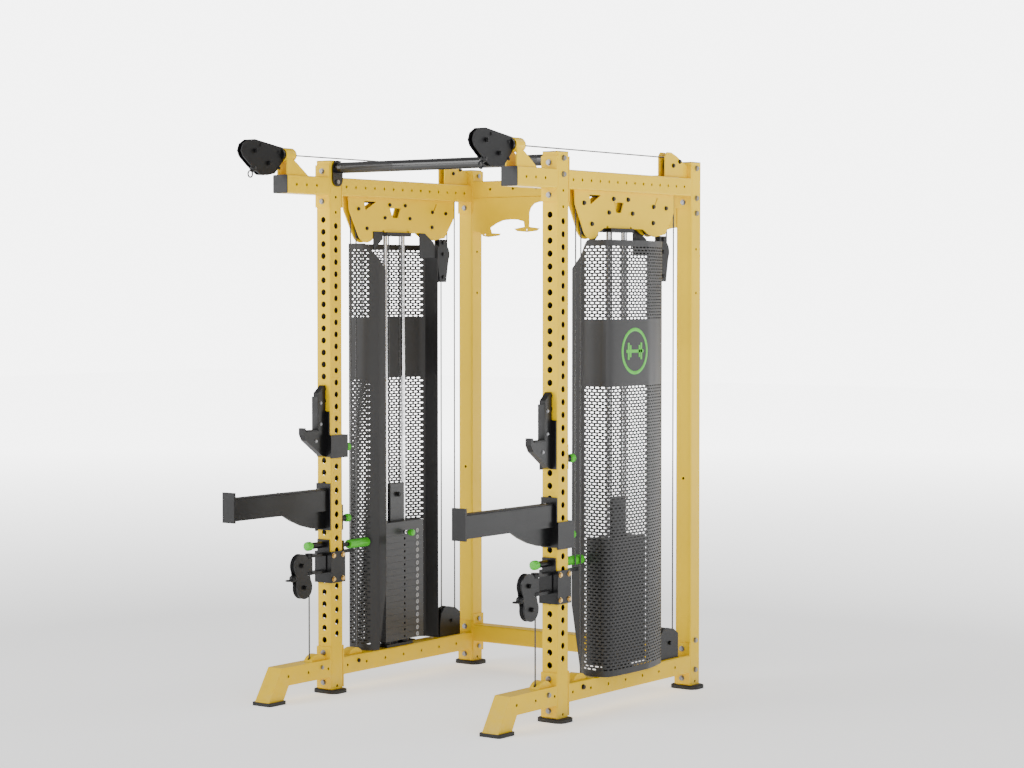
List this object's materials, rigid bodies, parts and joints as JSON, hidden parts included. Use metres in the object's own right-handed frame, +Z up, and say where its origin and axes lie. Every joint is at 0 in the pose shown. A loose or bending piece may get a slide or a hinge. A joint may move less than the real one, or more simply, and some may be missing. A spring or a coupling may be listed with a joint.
{
  "type": "power cage",
  "caption": "Four-post power cage with two shrouded weight stacks, cable swivels on arms and sliding carriages, bar hooks, spotter arms and a pull-up bar.",
  "frame": {"origin": "on the floor, in the middle of the whole footprint", "axes": "+X to the right as the user faces the rear beam, +Y to the rear, +Z up"},
  "size_m": [1.3844, 1.6712, 2.322],
  "materials": {
    "black_coat": "satin powder coat",
    "black_plastic": "matt",
    "chromed_rod": "polished",
    "coated_cable": "nylon coat on steel",
    "foot_rubber": "matt",
    "green_knob": "soft satin",
    "grey_sheet": "fine texture powder coat",
    "pulley_nylon": "matt",
    "stack_iron": "satin black",
    "yellow_coat": "semi-gloss powder coat",
    "zinc_steel": "zinc plated"
  },
  "bodies": {
    "root": {"base_pulley_guards": "yellow_coat", "base_side_rails": "yellow_coat", "cables_left": "coated_cable", "cables_right": "coated_cable", "enclosed_pulleys": "pulley_nylon", "foot_pads": "foot_rubber", "frame_bolts": "zinc_steel", "front_legs": "yellow_coat", "guide_rods": "chromed_rod", "hanger_plates": "yellow_coat", "pull_up_bar": "black_coat", "rail_pulley_plates": "yellow_coat", "rear_base_brackets": "black_coat", "rear_beams": "yellow_coat", "rear_pulley_brackets": "yellow_coat", "shroud_brackets": "black_coat", "shroud_left": "grey_sheet", "shroud_right": "grey_sheet", "stack_feet": "black_coat", "top_arms": "yellow_coat", "top_side_rails": "yellow_coat", "tube_caps": "black_plastic", "uprights": "yellow_coat", "weight_plates": "stack_iron"},
    "stack_head_left": {"stack_head_left": "stack_iron"},
    "head_pulley_left": {"head_pulley_left": "pulley_nylon"},
    "selector_pin_left": {"selector_pin_left": "green_knob"},
    "floating_block_left": {"floating_block_left": "black_coat"},
    "floating_pulley_left": {"floating_pulley_left": "pulley_nylon"},
    "top_rear_pulley_left": {"top_rear_pulley_left": "pulley_nylon"},
    "arm_swivel_left": {"arm_swivel_left": "black_coat"},
    "arm_pulley_back_left": {"arm_pulley_back_left": "pulley_nylon"},
    "arm_pulley_front_left": {"arm_pulley_front_left": "pulley_nylon"},
    "carriage_left": {"carriage_left": "black_coat"},
    "carriage_pin_left": {"carriage_pin_left": "green_knob"},
    "carriage_swivel_left": {"carriage_swivel_left": "black_coat"},
    "carriage_pulley_low_left": {"carriage_pulley_low_left": "pulley_nylon"},
    "carriage_pulley_high_left": {"carriage_pulley_high_left": "pulley_nylon"},
    "jcup_left": {"jcup_left": "black_coat"},
    "jcup_pin_left": {"jcup_pin_left": "green_knob"},
    "spotter_arm_left": {"spotter_arm_left": "black_coat"},
    "spotter_pin_left": {"spotter_pin_left": "green_knob"},
    "stack_head_right": {"stack_head_right": "stack_iron"},
    "head_pulley_right": {"head_pulley_right": "pulley_nylon"},
    "selector_pin_right": {"selector_pin_right": "green_knob"},
    "floating_block_right": {"floating_block_right": "black_coat"},
    "floating_pulley_right": {"floating_pulley_right": "pulley_nylon"},
    "top_rear_pulley_right": {"top_rear_pulley_right": "pulley_nylon"},
    "arm_swivel_right": {"arm_swivel_right": "black_coat"},
    "arm_pulley_back_right": {"arm_pulley_back_right": "pulley_nylon"},
    "arm_pulley_front_right": {"arm_pulley_front_right": "pulley_nylon"},
    "carriage_right": {"carriage_right": "black_coat"},
    "carriage_pin_right": {"carriage_pin_right": "green_knob"},
    "carriage_swivel_right": {"carriage_swivel_right": "black_coat"},
    "carriage_pulley_low_right": {"carriage_pulley_low_right": "pulley_nylon"},
    "carriage_pulley_high_right": {"carriage_pulley_high_right": "pulley_nylon"},
    "jcup_right": {"jcup_right": "black_coat"},
    "jcup_pin_right": {"jcup_pin_right": "green_knob"},
    "spotter_arm_right": {"spotter_arm_right": "black_coat"},
    "spotter_pin_right": {"spotter_pin_right": "green_knob"}
  },
  "joints": [
    {"name": "stack_lift_left", "type": "slide", "parent": "root", "child": "stack_head_left", "axis": [0, 0, 1], "range_m": [0, 1.05], "deforming": ["cables_left"]},
    {"name": "head_pulley_left_spin", "type": "hinge", "parent": "stack_head_left", "child": "head_pulley_left", "pos_m": [-0.5842, 0.22975, 0.815], "axis": [1, 0, 0], "continuous": true},
    {"name": "selector_pull_left", "type": "slide", "parent": "stack_head_left", "child": "selector_pin_left", "axis": [1, 0, 0], "range_m": [0, 0.1]},
    {"name": "floating_block_drop_left", "type": "slide", "parent": "root", "child": "floating_block_left", "axis": [0, 0, -1], "range_m": [0, 1.06]},
    {"name": "floating_pulley_left_spin", "type": "hinge", "parent": "floating_block_left", "child": "floating_pulley_left", "pos_m": [-0.5842, 0.56545, 1.87], "axis": [1, 0, 0], "continuous": true},
    {"name": "top_rear_pulley_left_spin", "type": "hinge", "parent": "root", "child": "top_rear_pulley_left", "pos_m": [-0.5842, 0.62995, 2.233], "axis": [1, 0, 0], "continuous": true},
    {"name": "arm_swivel_turn_left", "type": "hinge", "parent": "root", "child": "arm_swivel_left", "pos_m": [-0.5842, -0.50355, 2.267], "axis": [0, 1, 0], "range_deg": [-90, 90]},
    {"name": "arm_pulley_back_left_spin", "type": "hinge", "parent": "arm_swivel_left", "child": "arm_pulley_back_left", "pos_m": [-0.5842, -0.59655, 2.2285], "axis": [1, 0, 0], "continuous": true},
    {"name": "arm_pulley_front_left_spin", "type": "hinge", "parent": "arm_swivel_left", "child": "arm_pulley_front_left", "pos_m": [-0.5842, -0.67755, 2.275], "axis": [1, 0, 0], "continuous": true},
    {"name": "carriage_slide_left", "type": "slide", "parent": "root", "child": "carriage_left", "axis": [0, 0, 1], "range_m": [-0.2032, 0]},
    {"name": "carriage_pin_pull_left", "type": "slide", "parent": "carriage_left", "child": "carriage_pin_left", "axis": [0, -1, 0], "range_m": [0, 0.011], "stiffness_N_per_m": 1500},
    {"name": "carriage_swivel_turn_left", "type": "hinge", "parent": "carriage_left", "child": "carriage_swivel_left", "pos_m": [-0.5842, -0.34155, 0.5565], "axis": [0, 0, 1], "range_deg": [-75, 75]},
    {"name": "carriage_pulley_low_left_spin", "type": "hinge", "parent": "carriage_swivel_left", "child": "carriage_pulley_low_left", "pos_m": [-0.5842, -0.38355, 0.464], "axis": [1, 0, 0], "continuous": true},
    {"name": "carriage_pulley_high_left_spin", "type": "hinge", "parent": "carriage_swivel_left", "child": "carriage_pulley_high_left", "pos_m": [-0.5842, -0.40055, 0.558], "axis": [1, 0, 0], "continuous": true},
    {"name": "jcup_height_left", "type": "slide", "parent": "root", "child": "jcup_left", "axis": [0, 0, 1], "range_m": [-0.0508, 0.7112]},
    {"name": "jcup_pin_pull_left", "type": "slide", "parent": "jcup_left", "child": "jcup_pin_left", "axis": [0, 1, 0], "range_m": [0, 0.011], "stiffness_N_per_m": 1500},
    {"name": "spotter_height_left", "type": "slide", "parent": "root", "child": "spotter_arm_left", "axis": [0, 0, 1], "range_m": [0, 0.0508]},
    {"name": "spotter_pin_pull_left", "type": "slide", "parent": "spotter_arm_left", "child": "spotter_pin_left", "axis": [0, 1, 0], "range_m": [0, 0.011], "stiffness_N_per_m": 1500},
    {"name": "stack_lift_right", "type": "slide", "parent": "root", "child": "stack_head_right", "axis": [0, 0, 1], "range_m": [0, 1.05], "deforming": ["cables_right"]},
    {"name": "head_pulley_right_spin", "type": "hinge", "parent": "stack_head_right", "child": "head_pulley_right", "pos_m": [0.5842, 0.22975, 0.815], "axis": [1, 0, 0], "continuous": true},
    {"name": "selector_pull_right", "type": "slide", "parent": "stack_head_right", "child": "selector_pin_right", "axis": [-1, 0, 0], "range_m": [0, 0.1]},
    {"name": "floating_block_drop_right", "type": "slide", "parent": "root", "child": "floating_block_right", "axis": [0, 0, -1], "range_m": [0, 1.06]},
    {"name": "floating_pulley_right_spin", "type": "hinge", "parent": "floating_block_right", "child": "floating_pulley_right", "pos_m": [0.5842, 0.56545, 1.87], "axis": [1, 0, 0], "continuous": true},
    {"name": "top_rear_pulley_right_spin", "type": "hinge", "parent": "root", "child": "top_rear_pulley_right", "pos_m": [0.5842, 0.62995, 2.233], "axis": [1, 0, 0], "continuous": true},
    {"name": "arm_swivel_turn_right", "type": "hinge", "parent": "root", "child": "arm_swivel_right", "pos_m": [0.5842, -0.50355, 2.267], "axis": [0, 1, 0], "range_deg": [-90, 90]},
    {"name": "arm_pulley_back_right_spin", "type": "hinge", "parent": "arm_swivel_right", "child": "arm_pulley_back_right", "pos_m": [0.5842, -0.59655, 2.2285], "axis": [1, 0, 0], "continuous": true},
    {"name": "arm_pulley_front_right_spin", "type": "hinge", "parent": "arm_swivel_right", "child": "arm_pulley_front_right", "pos_m": [0.5842, -0.67755, 2.275], "axis": [1, 0, 0], "continuous": true},
    {"name": "carriage_slide_right", "type": "slide", "parent": "root", "child": "carriage_right", "axis": [0, 0, 1], "range_m": [-0.2032, 0]},
    {"name": "carriage_pin_pull_right", "type": "slide", "parent": "carriage_right", "child": "carriage_pin_right", "axis": [0, -1, 0], "range_m": [0, 0.011], "stiffness_N_per_m": 1500},
    {"name": "carriage_swivel_turn_right", "type": "hinge", "parent": "carriage_right", "child": "carriage_swivel_right", "pos_m": [0.5842, -0.34155, 0.5565], "axis": [0, 0, 1], "range_deg": [-75, 75]},
    {"name": "carriage_pulley_low_right_spin", "type": "hinge", "parent": "carriage_swivel_right", "child": "carriage_pulley_low_right", "pos_m": [0.5842, -0.38355, 0.464], "axis": [1, 0, 0], "continuous": true},
    {"name": "carriage_pulley_high_right_spin", "type": "hinge", "parent": "carriage_swivel_right", "child": "carriage_pulley_high_right", "pos_m": [0.5842, -0.40055, 0.558], "axis": [1, 0, 0], "continuous": true},
    {"name": "jcup_height_right", "type": "slide", "parent": "root", "child": "jcup_right", "axis": [0, 0, 1], "range_m": [-0.0508, 0.7112]},
    {"name": "jcup_pin_pull_right", "type": "slide", "parent": "jcup_right", "child": "jcup_pin_right", "axis": [0, 1, 0], "range_m": [0, 0.011], "stiffness_N_per_m": 1500},
    {"name": "spotter_height_right", "type": "slide", "parent": "root", "child": "spotter_arm_right", "axis": [0, 0, 1], "range_m": [0, 0.0508]},
    {"name": "spotter_pin_pull_right", "type": "slide", "parent": "spotter_arm_right", "child": "spotter_pin_right", "axis": [0, 1, 0], "range_m": [0, 0.011], "stiffness_N_per_m": 1500}
  ],
  "couplings": [
    {"joint": "head_pulley_left_spin", "follows": "stack_lift_left", "rad_per_m": 26.525},
    {"joint": "floating_block_drop_left", "follows": "stack_lift_left", "ratio": 1},
    {"joint": "floating_pulley_left_spin", "follows": "stack_lift_left", "rad_per_m": 23.256},
    {"joint": "top_rear_pulley_left_spin", "follows": "stack_lift_left", "rad_per_m": 29.851},
    {"joint": "arm_pulley_back_left_spin", "follows": "stack_lift_left", "rad_per_m": 26.316},
    {"joint": "head_pulley_right_spin", "follows": "stack_lift_right", "rad_per_m": 26.525},
    {"joint": "floating_block_drop_right", "follows": "stack_lift_right", "ratio": 1},
    {"joint": "floating_pulley_right_spin", "follows": "stack_lift_right", "rad_per_m": 23.256},
    {"joint": "top_rear_pulley_right_spin", "follows": "stack_lift_right", "rad_per_m": 29.851},
    {"joint": "arm_pulley_back_right_spin", "follows": "stack_lift_right", "rad_per_m": 26.316}
  ]
}
